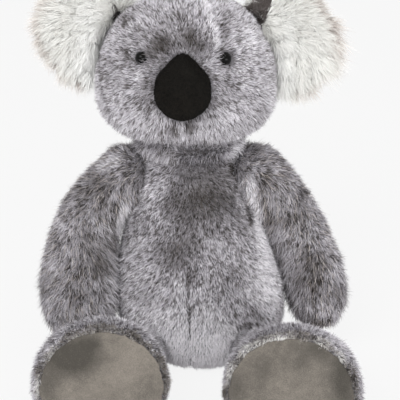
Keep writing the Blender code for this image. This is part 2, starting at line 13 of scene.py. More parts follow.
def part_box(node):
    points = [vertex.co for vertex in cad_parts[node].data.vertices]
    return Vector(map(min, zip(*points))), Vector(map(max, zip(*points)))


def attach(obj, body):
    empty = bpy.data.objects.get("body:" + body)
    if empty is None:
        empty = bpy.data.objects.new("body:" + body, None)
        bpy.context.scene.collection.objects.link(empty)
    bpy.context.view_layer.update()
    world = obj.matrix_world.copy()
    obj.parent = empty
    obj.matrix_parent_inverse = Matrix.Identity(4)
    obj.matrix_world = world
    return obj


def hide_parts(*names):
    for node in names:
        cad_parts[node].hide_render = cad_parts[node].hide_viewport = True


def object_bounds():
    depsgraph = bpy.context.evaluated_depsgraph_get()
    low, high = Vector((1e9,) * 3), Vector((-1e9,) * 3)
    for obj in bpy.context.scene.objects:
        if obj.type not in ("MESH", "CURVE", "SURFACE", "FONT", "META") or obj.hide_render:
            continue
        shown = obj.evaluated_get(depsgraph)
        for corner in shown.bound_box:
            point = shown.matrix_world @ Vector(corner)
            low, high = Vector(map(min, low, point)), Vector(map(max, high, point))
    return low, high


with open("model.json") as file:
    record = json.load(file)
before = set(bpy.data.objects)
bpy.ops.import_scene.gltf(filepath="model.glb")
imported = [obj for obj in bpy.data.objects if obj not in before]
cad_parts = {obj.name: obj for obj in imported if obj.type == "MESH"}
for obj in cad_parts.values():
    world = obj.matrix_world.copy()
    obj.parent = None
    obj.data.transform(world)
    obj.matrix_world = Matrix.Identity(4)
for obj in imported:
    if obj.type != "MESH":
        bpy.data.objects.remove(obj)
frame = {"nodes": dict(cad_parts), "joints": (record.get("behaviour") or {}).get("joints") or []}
cadLow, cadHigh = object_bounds()
nodes = frame["nodes"]
joints = {joint["name"]: Vector(joint["pos_m"]) for joint in frame["joints"]}
sides = (("left", -1), ("right", 1))
mm = 0.001
up = np.array((0.0, 0.0, 1.0))
front = np.array((0.0, -1.0, 0.0))
neck = np.array(joints["neck_turn"])
fence = {"share": 0.03, "margin": 9.5 * mm, "floor": 0.1 * mm}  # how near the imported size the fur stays
spare = (np.array(cadHigh) - np.array(cadLow)) * fence["share"] + fence["margin"]
furLow, furHigh = np.array(cadLow) - spare, np.array(cadHigh) + spare
furLow[2] = fence["floor"]

shot = {
    "distance": 1350 * mm,
    "elevation": 22.0,
    "lens": 135.0,
    "sensor": 36.0,
    "side": 10.4 * mm,  # the aim, from the neck
    "forward": 28 * mm,
    "height": 150 * mm,  # of the aim, above the floor
    "picture": 400,
}
aim = Vector((neck[0] + shot["side"], neck[1] - shot["forward"], shot["height"]))
tilt = math.radians(shot["elevation"])
lookBack = Vector((0, -math.cos(tilt), math.sin(tilt)))
eyePoint = aim + lookBack * shot["distance"]


def makeCamera():
    bpy.ops.object.camera_add(location=eyePoint)
    camera = bpy.context.object
    camera.rotation_euler = (-lookBack).to_track_quat("-Z", "Y").to_euler()
    camera.data.lens = shot["lens"]
    camera.data.sensor_width = shot["sensor"]
    camera.data.clip_start = 0.1
    bpy.context.scene.camera = camera


def seenAt(points):  # where the picture shows each point, in its pixels
    away = points - np.array(eyePoint)
    depth = away @ -np.array(lookBack)
    upward = np.array((0.0, math.sin(tilt), math.cos(tilt)))
    scale = shot["lens"] / shot["sensor"] * shot["picture"] / depth
    middle = shot["picture"] / 2
    return middle + away[:, 0] * scale, middle - (away @ upward) * scale


makeCamera()
print("camera is placed")


def unit(vectors):
    return vectors / np.maximum(np.linalg.norm(vectors, axis=1, keepdims=True), 1e-9)


def flatten(vectors, normals):  # what is left of each vector along the skin
    return vectors - normals * np.sum(vectors * normals, axis=1, keepdims=True)


def rise(values, low, high):  # 0 below low, 1 above high, smooth between
    part = np.clip((values - low) / (high - low), 0, 1)
    return part * part * (3 - 2 * part)


def cellRandom(cells, seed):  # a steady number from 0 to 1 for each cell of a grid
    x, y, z = (cells[:, axis].astype(np.int64) for axis in range(3))
    mixed = (x * 73856093) ^ (y * 19349663) ^ (z * 83492791) ^ (seed * 83492123)
    mixed = (mixed ^ (mixed >> 13)) * 1274126177
    return ((mixed ^ (mixed >> 16)) & 0xFFFFF) / 0xFFFFF


noiseSeeds = {
    "lump": 3, "swirl": 11, "lay": 29, "tuft": 41, "wander": 50, "cloud": 61, "fineCloud": 67,
    "speckle": 71, "ragged": 73, "fleck": 77, "nap": 83, "fineNap": 89,
}
seedStep, axisSeeds = 17.3, 5  # how far apart the patterns of two seeds lie, and the seeds of two axes


def noise(points, size, seed):  # smooth, from -1 to 1
    scaled = points / size + seed * seedStep
    cell = np.floor(scaled)
    part = scaled - cell
    part = part * part * (3 - 2 * part)
    total = np.zeros(len(points))
    for corner in np.ndindex(2, 2, 2):
        weight = np.prod(np.where(corner, part, 1 - part), axis=1)
        total += weight * cellRandom(cell + corner, seed)
    return total * 2 - 1


def noiseVectors(points, size, seed):
    return np.stack([noise(points, size, seed + axis * axisSeeds) for axis in range(3)], axis=1)


facingFront = {"line": (-0.1, 0.15), "patch": (-0.15, 0.25)}  # a normal's share to the front: none, all


def nearLine(points, normals, line):  # 1 on a marked line that the picture shows, a seam or a crease's painted shadow, 0 away from it
    x, y = seenAt(points)
    best = np.full(len(points), 1e9)
    for (x0, y0), (x1, y1) in zip(line["route"], line["route"][1:]):
        dx, dy = x1 - x0, y1 - y0
        part = np.clip(((x - x0) * dx + (y - y0) * dy) / (dx * dx + dy * dy), 0, 1)
        best = np.minimum(best, np.hypot(x - x0 - dx * part, y - y0 - dy * part))
    return np.exp(-((best / line["width"]) ** 2)) * rise(normals @ front, *facingFront["line"])


def patchShade(points, normals, patches):  # x, y, half width, half height and how much lighter
    x, y = seenAt(points)
    facing = rise(normals @ front, *facingFront["patch"])
    shade = np.zeros(len(points))
    for px, py, rx, ry, amount in patches:
        shade += amount * facing * np.exp(-(((x - px) / rx) ** 2) - ((y - py) / ry) ** 2)
    return shade


def setInputs(node, values):
    for name, value in values.items():
        node.inputs[name].default_value = value


def newMaterial(name, roughness):
    material = bpy.data.materials.new(name)
    material.use_nodes = True
    tree = material.node_tree
    shader = tree.nodes["Principled BSDF"]
    setInputs(shader, {"Roughness": roughness, "Specular IOR Level": 0.2})
    return material, tree, shader


def addRamp(tree, source, stops):
    colours = tree.nodes.new("ShaderNodeValToRGB")
    while len(colours.color_ramp.elements) < len(stops):
        colours.color_ramp.elements.new(0.5)
    for element, (place, colour) in zip(colours.color_ramp.elements, stops):
        element.position = place
        element.color = (*colour, 1)
    tree.links.new(source, colours.inputs["Fac"])
    return colours.outputs["Color"]


def addNoise(tree, scale, detail=3.0, roughness=0.55):
    place = tree.nodes.new("ShaderNodeTexCoord")
    pattern = tree.nodes.new("ShaderNodeTexNoise")
    setInputs(pattern, {"Scale": scale, "Detail": detail, "Roughness": roughness})
    tree.links.new(place.outputs["Object"], pattern.inputs["Vector"])
    return pattern.outputs["Fac"]


def addMath(tree, operation, first, second, third=None):
    step = tree.nodes.new("ShaderNodeMath")
    step.operation = operation
    for socket, value in zip(step.inputs, (first, second, third)):
        if isinstance(value, bpy.types.NodeSocket):
            tree.links.new(value, socket)
        elif value is not None:
            socket.default_value = value
    return step.outputs["Value"]


def addBump(tree, shader, height, strength, distance):
    bump = tree.nodes.new("ShaderNodeBump")
    setInputs(bump, {"Strength": strength, "Distance": distance})
    tree.links.new(height, bump.inputs["Height"])
    tree.links.new(bump.outputs["Normal"], shader.inputs["Normal"])


# shade across, root to tip upwards, and a margin at both ends of the shade
strandMap = {"name": "strand", "wide": 0.004, "low": 0.4, "tall": 0.2, "margin": 0.01}


def strandMaterial(name, stops, rootToneAndShadow, tipShade, sheen):
    material, tree, shader = newMaterial(name, 0.8)
    place = tree.nodes.new("ShaderNodeUVMap")
    place.uv_map = strandMap["name"]
    apart = tree.nodes.new("ShaderNodeSeparateXYZ")
    tree.links.new(place.outputs["UV"], apart.inputs["Vector"])
    low, tall = strandMap["low"], strandMap["tall"]
    # roots darker than tips: partly the frosted pile's own dark roots, partly painted shadow between the
    # strands
    growth = ((low, (rootToneAndShadow,) * 3), (low + tall * 0.5, (1, 1, 1)), (low + tall, (tipShade,) * 3))
    mix = tree.nodes.new("ShaderNodeMix")
    mix.data_type = "RGBA"
    mix.blend_type = "MULTIPLY"
    mix.inputs["Factor"].default_value = 1.0
    tree.links.new(addRamp(tree, apart.outputs["X"], stops), mix.inputs["A"])
    tree.links.new(addRamp(tree, apart.outputs["Y"], growth), mix.inputs["B"])
    tree.links.new(mix.outputs["Result"], shader.inputs["Base Color"])
    setInputs(shader, {"Sheen Weight": sheen, "Sheen Roughness": 0.5})
    return material


def clothMaterial(name, stops, patchScale, grainScale, bump):
    # a base cloth: soft patches of colour, fine grain and a nap
    material, tree, shader = newMaterial(name, 0.9)
    grain = addNoise(tree, grainScale, 5.0, 0.7)
    mixed = addMath(tree, "MULTIPLY_ADD", grain, 0.35, addNoise(tree, patchScale, 4.0))
    tree.links.new(addRamp(tree, mixed, stops), shader.inputs["Base Color"])
    addBump(tree, shader, grain, bump, 0.6 * mm)
    return material


def suedeMaterial():  # the nap attribute says where the pile was brushed the dark way
    material, tree, shader = newMaterial("sole_suede", 0.85)
    nap = tree.nodes.new("ShaderNodeAttribute")
    nap.attribute_name = "nap"
    grain = addNoise(tree, 1200.0, 4.0, 0.8)
    streak = addNoise(tree, 160.0, 4.0, 0.6)
    mixed = addMath(tree, "MULTIPLY_ADD", addMath(tree, "SUBTRACT", grain, 0.5), 1.1, nap.outputs["Fac"])
    mixed = addMath(tree, "MULTIPLY_ADD", addMath(tree, "SUBTRACT", streak, 0.5), 0.35, mixed)
    stops = (
        (0.0, (0.052, 0.047, 0.040)),
        (0.35, (0.100, 0.090, 0.078)),
        (0.65, (0.180, 0.160, 0.138)),
        (1.0, (0.270, 0.240, 0.208)),
    )
    tree.links.new(addRamp(tree, mixed, stops), shader.inputs["Base Color"])
    addBump(tree, shader, grain, 0.6, 0.5 * mm)
    setInputs(shader, {"Sheen Weight": 0.1, "Sheen Roughness": 0.4})
    return material


def glossMaterial(name, colour, roughness, coat):
    material, tree, shader = newMaterial(name, roughness)
    worn = ((0.3, (roughness * 0.8,) * 3), (0.8, (roughness * 1.4,) * 3))
    tree.links.new(addRamp(tree, addNoise(tree, 900.0), worn), shader.inputs["Roughness"])
    tint = ((0.3, colour), (0.8, tuple(part * 1.3 for part in colour)))
    tree.links.new(addRamp(tree, addNoise(tree, 300.0), tint), shader.inputs["Base Color"])
    setInputs(shader, {"Specular IOR Level": 0.1, "Coat Weight": coat, "Coat Roughness": 0.03})
    return material


greyStops = (
    (0.0, (0.032, 0.026, 0.022)),
    (0.25, (0.125, 0.112, 0.106)),
    (0.50, (0.330, 0.312, 0.330)),
    (0.75, (0.620, 0.598, 0.640)),
    (1.0, (0.950, 0.930, 0.960)),
)
whiteStops = (
    (0.0, (0.420, 0.340, 0.300)),
    (0.25, (0.640, 0.585, 0.550)),
    (0.50, (0.790, 0.785, 0.755)),
    (1.0, (0.920, 0.920, 0.905)),
)
darkStops = (
    (0.0, (0.025, 0.020, 0.018)),
    (0.5, (0.110, 0.094, 0.088)),
    (1.0, (0.360, 0.330, 0.320)),
)
rimStops = (
    (0.0, (0.030, 0.025, 0.021)),
    (0.25, (0.118, 0.102, 0.090)),
    (0.50, (0.300, 0.274, 0.252)),
    (0.75, (0.580, 0.553, 0.528)),
    (1.0, (0.940, 0.930, 0.910)),
)
velourStops = ((0.0, (0.002, 0.0018, 0.0015)), (1.0, (0.022, 0.018, 0.014)))
materials = {
    "greyFur": strandMaterial("grey_fur_strands", greyStops, 0.40, 1.0, 0.05),
    "rimFur": strandMaterial("foot_rim_strands", rimStops, 0.45, 1.0, 0.05),
    "whiteFur": strandMaterial("white_pile_strands", whiteStops, 0.90, 1.0, 0.1),
    "darkFur": strandMaterial("dark_pile_strands", darkStops, 0.5, 1.0, 0.0),
    "velourNap": strandMaterial("black_velour_nap", velourStops, 0.6, 1.0, 0.0),
    "greyCloth": clothMaterial(
        "grey_fur_backing", ((0.3, (0.13, 0.12, 0.125)), (0.9, (0.26, 0.25, 0.27))), 60, 900, 0.6
    ),
    "whiteCloth": clothMaterial(
        "white_pile_backing", ((0.3, (0.72, 0.70, 0.67)), (0.9, (0.86, 0.85, 0.82))), 60, 900, 0.6
    ),
    "darkCloth": clothMaterial(
        "dark_pile_backing", ((0.3, (0.05, 0.045, 0.04)), (0.9, (0.12, 0.11, 0.10))), 60, 900, 0.6
    ),
    "velour": clothMaterial(
        "black_velour", ((0.3, (0.003, 0.0025, 0.002)), (0.95, (0.010, 0.009, 0.007))), 90, 1600, 0.5
    ),
    "suede": suedeMaterial(),
    "fill": clothMaterial(
        "fibre_fill", ((0.3, (0.74, 0.74, 0.72)), (0.9, (0.88, 0.88, 0.86))), 90, 500, 0.8
    ),
    "bag": clothMaterial(
        "bag_cloth", ((0.3, (0.55, 0.53, 0.47)), (0.9, (0.72, 0.70, 0.64))), 120, 1200, 0.5
    ),
    "eye": glossMaterial("eye_plastic", (0.002, 0.0018, 0.0016), 0.12, 0.05),
    "washer": glossMaterial("washer_plastic", (0.62, 0.62, 0.58), 0.4, 0.3),
}


def dressNodes():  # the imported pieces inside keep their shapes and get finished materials
    for name, node in nodes.items():
        kind = "washer" if name.endswith("washer") else "bag" if name == "pellet_bag" else "fill"
        node.data.materials.clear()
        node.data.materials.append(materials[kind])


dressNodes()
print("materials are made")


def select(*objects):
    bpy.ops.object.select_all(action="DESELECT")
    for obj in objects:
        obj.select_set(True)
    bpy.context.view_layer.objects.active = objects[0]


def editAll(obj):
    select(obj)
    bpy.ops.object.mode_set(mode="EDIT")
    bpy.ops.mesh.select_all(action="SELECT")


def applyModifier(obj, kind, **settings):
    modifier = obj.modifiers.new(kind.lower(), kind)
    for key, value in settings.items():
        setattr(modifier, key, value)
    select(obj)
    bpy.ops.object.modifier_apply(modifier=modifier.name)


def arraysOf(obj):  # places and normals of its vertices
    count = len(obj.data.vertices)
    places, normals = np.empty(count * 3), np.empty(count * 3)
    obj.data.vertices.foreach_get("co", places)
    obj.data.vertices.foreach_get("normal", normals)
    return places.reshape(-1, 3), normals.reshape(-1, 3)


def setPlaces(obj, places):
    obj.data.vertices.foreach_set("co", places.ravel())
    obj.data.update()


def copyNodes(name, parts, balls):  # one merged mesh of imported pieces; balls fill their hollows
    copies = [bpy.data.objects.new(name, nodes[part].data.copy()) for part in parts]
    for copy in copies:
        bpy.context.scene.collection.objects.link(copy)
    select(*copies)
    if len(copies) > 1:
        bpy.ops.object.join()
    skin = bpy.context.object
    editAll(skin)
    bpy.ops.mesh.remove_doubles(threshold=0.01 * mm)
    for centre, radius in balls:
        bpy.ops.mesh.primitive_ico_sphere_add(subdivisions=4, radius=radius, location=centre)
    bpy.ops.object.mode_set(mode="OBJECT")
    return skin


def keepOuter(skin):  # the remesh also wraps the hollows inside, and these shells go
    name = skin.name
    editAll(skin)
    bpy.ops.mesh.separate(type="LOOSE")
    bpy.ops.object.mode_set(mode="OBJECT")
    *inner, outer = sorted(bpy.context.selected_objects, key=lambda shell: len(shell.data.vertices))
    for shell in inner:
        bpy.data.objects.remove(shell, do_unlink=True)
    outer.name = name
    editAll(outer)
    bpy.ops.mesh.normals_make_consistent(inside=False)
    bpy.ops.object.mode_set(mode="OBJECT")
    return outer


def swell(skin, look):  # the stuffing's pressure; no point moves further than the cap
    before, _ = arraysOf(skin)
    cloth = skin.modifiers.new("cloth", "CLOTH")
    cloth.settings.quality = 4
    cloth.settings.use_pressure = True
    cloth.settings.uniform_pressure_force = look["pressure"]
    cloth.settings.effector_weights.gravity = 0
    for number in range(1, look["frames"] + 1):
        bpy.context.scene.frame_set(number)
    select(skin)
    bpy.ops.object.modifier_apply(modifier=cloth.name)
    bpy.context.scene.frame_set(1)
    moves = arraysOf(skin)[0] - before
    far = np.linalg.norm(moves, axis=1, keepdims=True)
    print(f"{skin.name} swells {far.mean() / mm:.2f} mm, most {far.max() / mm:.2f} mm")
    setPlaces(skin, before + moves * np.minimum(1, look["cap"] / np.maximum(far, 1e-9)))


def makeSkin(name, body, parts, look, balls=()):
    skin = copyNodes(f"{name}_skin", parts, balls)
    applyModifier(skin, "REMESH", mode="VOXEL", voxel_size=look["voxel"])
    skin = keepOuter(skin)
    applyModifier(skin, "SMOOTH", factor=0.5, iterations=look["smooth"])
    places, normals = arraysOf(skin)
    setPlaces(skin, places - normals * look["shrink"])
    if look["pressure"]:
        swell(skin, look)
    applyModifier(skin, "SUBSURF", levels=1, render_levels=1)
    places, normals = arraysOf(skin)
    lift = look["lump"] * noise(places, look["lumpSize"], noiseSeeds["lump"])
    for line in look["seams"]:
        lift -= line["depth"] * nearLine(places, normals, line)
    places += normals * lift[:, None]
    places[:, 2] = np.maximum(places[:, 2], 0)
    setPlaces(skin, places)
    select(skin)
    bpy.ops.object.shade_smooth()
    skin.data.materials.clear()
    skin.data.materials.append(materials[look["cloth"]])
    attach(skin, body)
    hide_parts(parts[0])
    return skin


# a marked line: a seam, or painted shadow along a crease
def seam(width, depth, shade, bald, *route):  # in the picture's pixels, but the depth in metres
    return {"width": width, "depth": depth, "shade": shade, "bald": bald, "route": route}


skinLook = {
    "voxel": 5 * mm, "smooth": 3, "shrink": 1.2 * mm, "pressure": 4.0, "frames": 12, "cap": 2.4 * mm,
    "lump": 0.7 * mm, "lumpSize": 26 * mm, "seams": (), "cloth": "greyCloth", "slot": "grey_fur",
    "fill": 0.85,
}
torsoLook = skinLook | {
    # the cover's seams and the belly's dart
    "seams": (
        seam(
            2.0, 1.8 * mm, -1.10, 0.3, (227, 165), (231, 173), (238, 183), (241, 192), (244, 204),
            (249, 222),
        ),
        seam(1.7, 1.4 * mm, -0.85, 0.3, (224, 158), (230, 166), (241, 168), (253, 172), (263, 179)),
        seam(1.8, 1.2 * mm, -0.08, 0.4, (131, 160), (119, 222), (113, 262), (113, 300)),
        seam(1.4, 2.0 * mm, -0.95, 0.5, (187, 272), (189, 300), (190.5, 335), (190.5, 372)),
    ),
}
headLook = skinLook | {
    "lump": 0.6 * mm,
    # seams of the head
    "seams": (
        seam(1.9, -1.4 * mm, 0.45, 0.0, (203, 2), (208, 15), (212, 28), (215, 38), (214, 50)),
        seam(1.4, 0.8 * mm, -0.2, 0.3, (134, 6), (137, 26), (139, 44)),
        seam(1.4, 1.0 * mm, -0.3, 0.4, (106, 30), (102, 50), (103, 84), (110, 103), (114, 116)),
        seam(1.3, 0.8 * mm, 0.30, 0.1, (183, 121), (183, 138)),
    ),
}
neckLook = skinLook | {"voxel": 4 * mm, "pressure": 0, "lump": 0.0, "spread": (1.75, 1.45, 0.7)}
shoulderLook = skinLook | {"voxel": 3 * mm, "shrink": 0.4 * mm, "pressure": 0, "lump": 0.0}
limbLook = skinLook | {"lump": 0.8 * mm, "lumpSize": 24 * mm}
earLook = skinLook | {
    "voxel": 3 * mm, "shrink": 0.6 * mm, "cap": 1.2 * mm, "lump": 0.5 * mm, "lumpSize": 14 * mm,
    "cloth": "whiteCloth", "slot": "white_pile", "fill": 0.6,
}
earBackLook = earLook | {"cloth": "darkCloth", "slot": "dark_pile"}
noseLook = skinLook | {
    "voxel": 1.5 * mm, "shrink": 0.0, "pressure": 0, "lump": 0.25 * mm, "lumpSize": 9 * mm,
    "cloth": "velour", "slot": "black_velour", "fill": 1.0, "step": 6,
    # the outline from its middle: angle above the horizon, reach
    "outline": (
        (-90, 27.8), (-72, 27.4), (-45, 26.4), (-24, 26.0), (-5, 24.4), (12, 23.8), (30, 23.8), (51, 23.6),
        (70, 26.6), (82, 28.8), (90, 29.6),
    ),
}
soleLook = skinLook | {
    "voxel": 1.6 * mm, "shrink": 0.0, "pressure": 0, "lump": 0.4 * mm, "lumpSize": 24 * mm,
    "cloth": "suede", "slot": "sole_suede", "fill": 0.5, "bare": 0.56, "facing": 0.7,
    "clouds": ((0.05, 16 * mm, noiseSeeds["nap"]), (0.04, 6 * mm, noiseSeeds["fineNap"])),
    "nap": {
        "left": (
            (72, 357, 28, 16, -0.90), (47, 385, 12, 18, -0.35), (92, 342, 16, 8, -0.30),
            (118, 366, 24, 20, 0.10), (150, 392, 14, 22, -0.14), (105, 342, 5, 9, 0.16),
        ),
        "right": (
            (345, 378, 13, 30, -0.60), (318, 350, 16, 10, -0.30), (290, 360, 60, 50, -0.16),
            (236, 388, 12, 16, -0.26), (262, 372, 8, 18, -0.16), (300, 362, 9, 10, -0.12),
            (286, 388, 22, 18, 0.06),
        ),
    },
}


def spreadNeck(skin):  # the ball of fill is seen as a wide, low collar
    places, _ = arraysOf(skin)
    setPlaces(skin, neck + (places - neck) * np.array(neckLook["spread"]))


def shapeNose(skin):  # narrows the egg's shoulders and draws its top to a peak
    places, _ = arraysOf(skin)
    low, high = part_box("nose_cover")
    middle = np.array((low + high) / 2)
    across, rising = places[:, 0] - middle[0], places[:, 2] - middle[2]
    reach = np.hypot(across, rising)
    angle = np.degrees(np.arctan2(rising, np.abs(across)))
    step = noseLook["step"]
    marks = np.arange(-90, 91, step)
    outer = np.array([reach[np.abs(angle - mark) < step].max() for mark in marks])
    wanted = np.array(noseLook["outline"])
    target = np.interp(angle, wanted[:, 0], wanted[:, 1]) * mm
    scale = target / np.interp(angle, marks, outer)
    places[:, 0] = middle[0] + across * scale
    places[:, 2] = middle[2] + rising * scale
    setPlaces(skin, places)


def brushSole(skin, side):  # stores which way the nap was brushed, as the picture shows it
    places, normals = arraysOf(skin)
    nap = skin.data.attributes.new("nap", "FLOAT", "POINT")
    shade = soleLook["bare"] + patchShade(places, normals, soleLook["nap"][side])
    shade += sum(amount * noise(places, size, seed) for amount, size, seed in soleLook["clouds"])
    nap.data.foreach_set("value", np.clip(shade, 0, 1))


def makeSkins():
    skins = {
        "torso": makeSkin("torso", "torso", ("torso_cover", "torso_stuffing"), torsoLook),
        "neck": makeSkin("neck", "neck", ("neck_wad",), neckLook),
        "head": makeSkin("head", "head", ("head_cover", "head_stuffing"), headLook),
        "nose": makeSkin("nose", "head", ("nose_cover", "nose_pad"), noseLook),
    }
    spreadNeck(skins["neck"])
    shapeNose(skins["nose"])
    for side, _ in sides:
        arm, leg, sole, ear = f"arm_{side}", f"leg_{side}", f"sole_{side}", f"ear_{side}"
        ball = ((joints[f"{arm}_swing"], 28 * mm),)
        skins[arm] = makeSkin(arm, arm, (f"{arm}_cover", f"{arm}_stuffing"), limbLook, ball)
        shoulder = f"shoulder_{side}"
        skins[shoulder] = makeSkin(shoulder, shoulder, (f"{shoulder}_wad",), shoulderLook)
        skins[leg] = makeSkin(leg, leg, (f"{leg}_cover", f"{leg}_stuffing"), limbLook)
        skins[sole] = makeSkin(sole, leg, (sole,), soleLook)
        brushSole(skins[sole], side)
        skins[f"{ear}_front"] = makeSkin(f"{ear}_front", ear, (f"{ear}_front",), earLook)
        skins[f"{ear}_back"] = makeSkin(f"{ear}_back", ear, (f"{ear}_back",), earBackLook)
    return skins


skins = makeSkins()
print("skins are stuffed")


def treeOf(obj):
    places, _ = arraysOf(obj)
    faces = [tuple(face.vertices) for face in obj.data.polygons]
    return BVHTree.FromPolygons(places.tolist(), faces), places.min(0), places.max(0)


trees = {name: treeOf(skin) for name, skin in skins.items()}

eyeLook = {
    "radius": 6.0 * mm, "sink": 3.0 * mm, "stem": 3 * mm,
    "stemPlace": 0.99,  # a share of the radius
}
eyes = {}


def makeEyes():  # a bead, drawn out to a stem behind
    radius = eyeLook["radius"]
    for side, sign in sides:
        low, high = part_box(f"eye_{side}")
        across = low.x + radius if sign < 0 else high.x - radius
        middle = Vector((across, low.y + radius + eyeLook["sink"], (low.z + high.z) / 2))
        bpy.ops.object.select_all(action="DESELECT")
        bpy.ops.mesh.primitive_uv_sphere_add(
            segments=40, ring_count=20, radius=radius, location=middle, rotation=(math.pi / 2, 0, 0)
        )
        bead = bpy.context.object
        bead.name = f"eye_{side}_bead"
        bpy.ops.object.transform_apply(location=True, rotation=True, scale=True)
        bpy.ops.object.mode_set(mode="EDIT")
        bpy.ops.mesh.select_mode(type="FACE")
        bpy.ops.mesh.select_all(action="DESELECT")
        bpy.ops.object.mode_set(mode="OBJECT")
        for face in bead.data.polygons:
            face.select = face.center.y > middle.y + radius * eyeLook["stemPlace"]
        bpy.ops.object.mode_set(mode="EDIT")
        bpy.ops.mesh.extrude_region_move(TRANSFORM_OT_translate={"value": (0, eyeLook["stem"], 0)})
        bpy.ops.mesh.select_mode(type="VERT")
        bpy.ops.object.mode_set(mode="OBJECT")
        bpy.ops.object.shade_smooth()
        bead.data.materials.append(materials["eye"])
        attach(bead, "head")
        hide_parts(f"eye_{side}")
        eyes[side] = np.array(middle)
        trees[f"eye_{side}"] = treeOf(bead)


makeEyes()
print("eyes are set")


def rootsOn(skin, perMm2, seed):  # random places, evenly spread over a skin's area
    mesh = skin.data
    mesh.calc_loop_triangles()
    corners = np.empty(len(mesh.loop_triangles) * 3, np.int64)
    mesh.loop_triangles.foreach_get("vertices", corners)
    corners = corners.reshape(-1, 3)
    places, normals = arraysOf(skin)
    a, b, c = (places[corners[:, k]] for k in range(3))
    total = np.cumsum(np.linalg.norm(np.cross(b - a, c - a), axis=1) / 2)
    dice = np.random.default_rng(seed)
    count = int(total[-1] / mm**2 * perMm2)
    pick = np.searchsorted(total, (np.arange(count) + dice.random(count)) / count * total[-1])
    s, t = dice.random(count), dice.random(count)
    over = s + t > 1
    s[over], t[over] = 1 - s[over], 1 - t[over]
    share = np.stack((1 - s - t, s, t), axis=1)
    chosen = corners[np.minimum(pick, len(corners) - 1)]
    points = np.einsum("nk,nkd->nd", share, places[chosen])
    return points, unit(np.einsum("nk,nkd->nd", share, normals[chosen]))


def roomAt(points, names, reach):  # distance to the nearest of these neighbours, below 0 inside one
    room = np.full(len(points), reach)
    for tree, low, high in (trees[name] for name in names):
        close = np.all((points > low - reach) & (points < high + reach), axis=1)
        for index in np.flatnonzero(close):
            spot, normal, _, distance = tree.find_nearest(Vector(points[index]), reach * 3)
            if spot is None:
                continue
            inside = (Vector(points[index]) - spot).dot(normal) < 0
            room[index] = min(room[index], -distance if inside else distance)
    return room


strandShape = {
    "lowest": 0.4 * mm,  # no root is lower
    "clear": 0.5 * mm,  # or nearer to a neighbour
    "buried": 0.5 * mm,
    "pressed": 0.9,  # a neighbour presses it within this share of its reach
    "shortest": 0.75, "varied": 0.45, "balding": 0.5, "knee": 0.45, "tip": 0.6,  # shares of its length
    "thinnest": 0.7, "thicker": 0.6, "taper": 0.85,  # shares of its width
    "start": 0.72, "end": 1.2, "endLoose": 1.4,  # shares of the angle it lies at, and of its looseness
    "wave": 0.22, "waveSize": 0.7, "roll": 0.9,  # radians, a share of the swirl's size, radians
    "shift": 0.3, "shiftSize": 2.5, "wander": 0.7,  # shares of its tuft
    "kneePull": 0.4, "tipPull": 0.6,
    "cloudSize": 20 * mm, "fineSize": 8 * mm, "fine": 0.8, "own": 0.6, "darkest": 0.02, "lightest": 0.98,
}


